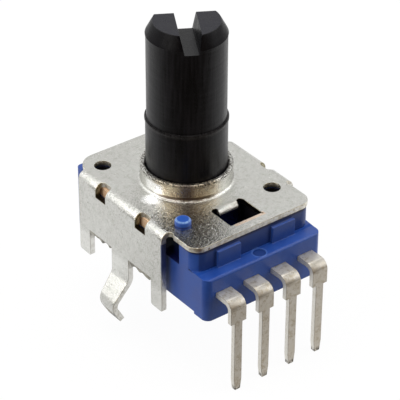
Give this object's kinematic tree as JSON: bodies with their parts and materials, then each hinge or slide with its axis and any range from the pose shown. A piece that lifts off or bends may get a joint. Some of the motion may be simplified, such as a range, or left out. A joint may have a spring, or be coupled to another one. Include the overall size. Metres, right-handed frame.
{
  "type": "rotary potentiometer",
  "caption": "Upright rotary potentiometer for a circuit board, with a slotted D-shaft, a folded snap-in steel cover, a moulded housing and a row of bent pins.",
  "frame": {"origin": "on the shaft's axis, in the plane of the cover's top face", "axes": "+Z along the shaft towards its tip, -Y towards the terminals, +X along the row of terminals"},
  "size_m": [0.015, 0.018, 0.0247],
  "materials": {
    "plated_steel": "bright plated sheet, rolled, satin",
    "housing_plastic": "moulded, semi-matte",
    "shaft_plastic": "moulded, semi-matte",
    "phenolic": "punched phenolic board",
    "spring_bronze": "bright rolled",
    "carbon_ink": "printed, matte",
    "silver_ink": "printed, matte",
    "tinned_brass": "tinned, dull",
    "rivet_brass": "bright"
  },
  "bodies": {
    "base": {"cover": "plated_steel", "housing": "housing_plastic", "insulating_plate": "phenolic", "element_board": "phenolic", "carbon_track": "carbon_ink", "collector_ring": "silver_ink", "lead_1": "silver_ink", "lead_2": "silver_ink", "lead_3": "silver_ink", "lead_4": "silver_ink", "terminal_1": "tinned_brass", "terminal_2": "tinned_brass", "terminal_3": "tinned_brass", "terminal_4": "tinned_brass", "rivet_1": "rivet_brass", "rivet_2": "rivet_brass", "rivet_3": "rivet_brass", "rivet_4": "rivet_brass"},
    "rotor": {"shaft": "shaft_plastic", "wiper": "spring_bronze"}
  },
  "joints": [
    {"name": "shaft_turn", "type": "hinge", "parent": "base", "child": "rotor", "pos_m": [0, 0, 0], "axis": [0, 0, 1], "range_deg": [-300, 0]}
  ]
}
